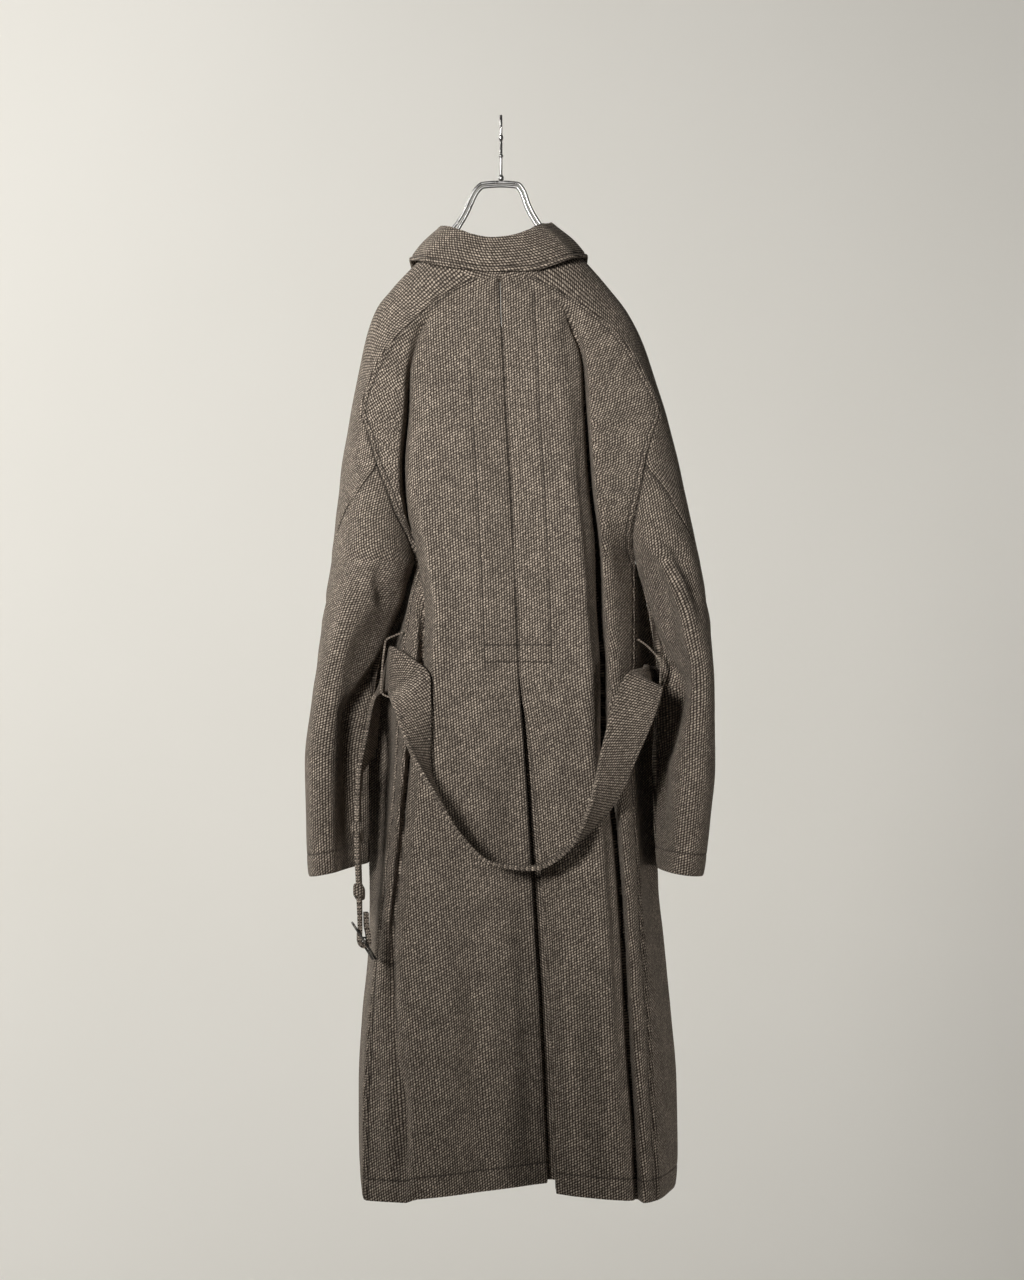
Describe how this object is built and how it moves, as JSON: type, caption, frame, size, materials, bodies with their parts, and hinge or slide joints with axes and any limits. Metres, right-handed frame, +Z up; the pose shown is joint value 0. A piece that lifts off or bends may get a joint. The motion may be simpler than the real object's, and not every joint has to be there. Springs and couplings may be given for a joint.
{
  "type": "balmacaan coat on a wire hanger",
  "caption": "Long raglan-sleeved tweed coat with a fold-over collar, back pleat and loose belt, hung on a chrome wire hanger; hollow cloth shell open at neck, cuffs and hem.",
  "frame": {"origin": "where the hanger's hook bears on its rail, at the inside top of the hook", "axes": "+Z up; the coat's back faces -Y and its front +Y; +X is the wearer's right"},
  "size_m": [0.4896, 0.2661, 1.2874],
  "materials": {
    "tweed": "grey-brown wool tweed, matt, small dots in offset rows",
    "chrome": "bright plated wire",
    "dark_metal": "dark satin metal"
  },
  "bodies": {
    "coat": {"back_left": "tweed", "back_right": "tweed", "front_left": "tweed", "front_right": "tweed", "sleeve_left_top": "tweed", "sleeve_left_back": "tweed", "sleeve_right_top": "tweed", "sleeve_right_back": "tweed", "pleat_underlay": "tweed", "collar": "tweed", "belt": "tweed", "belt_keeper_upper": "tweed", "belt_keeper_lower": "tweed", "belt_loop_left": "tweed", "belt_loop_right": "tweed", "hanger_upper_wire": "chrome", "hanger_lower_wire": "chrome", "hanger_ferrule": "chrome", "hanger_hook": "chrome"},
    "buckle": {"buckle_frame": "dark_metal"},
    "prong": {"buckle_prong": "dark_metal"}
  },
  "joints": [
    {"name": "buckle_turn", "type": "hinge", "parent": "coat", "child": "buckle", "pos_m": [-0.1595, -0.112, -0.9775], "axis": [-0.0721, 0.9963, -0.0468], "range_deg": [-8, 3]},
    {"name": "prong_turn", "type": "hinge", "parent": "buckle", "child": "prong", "pos_m": [-0.1595, -0.112, -0.9775], "axis": [-0.0721, 0.9963, -0.0468], "range_deg": [0, 75]}
  ]
}
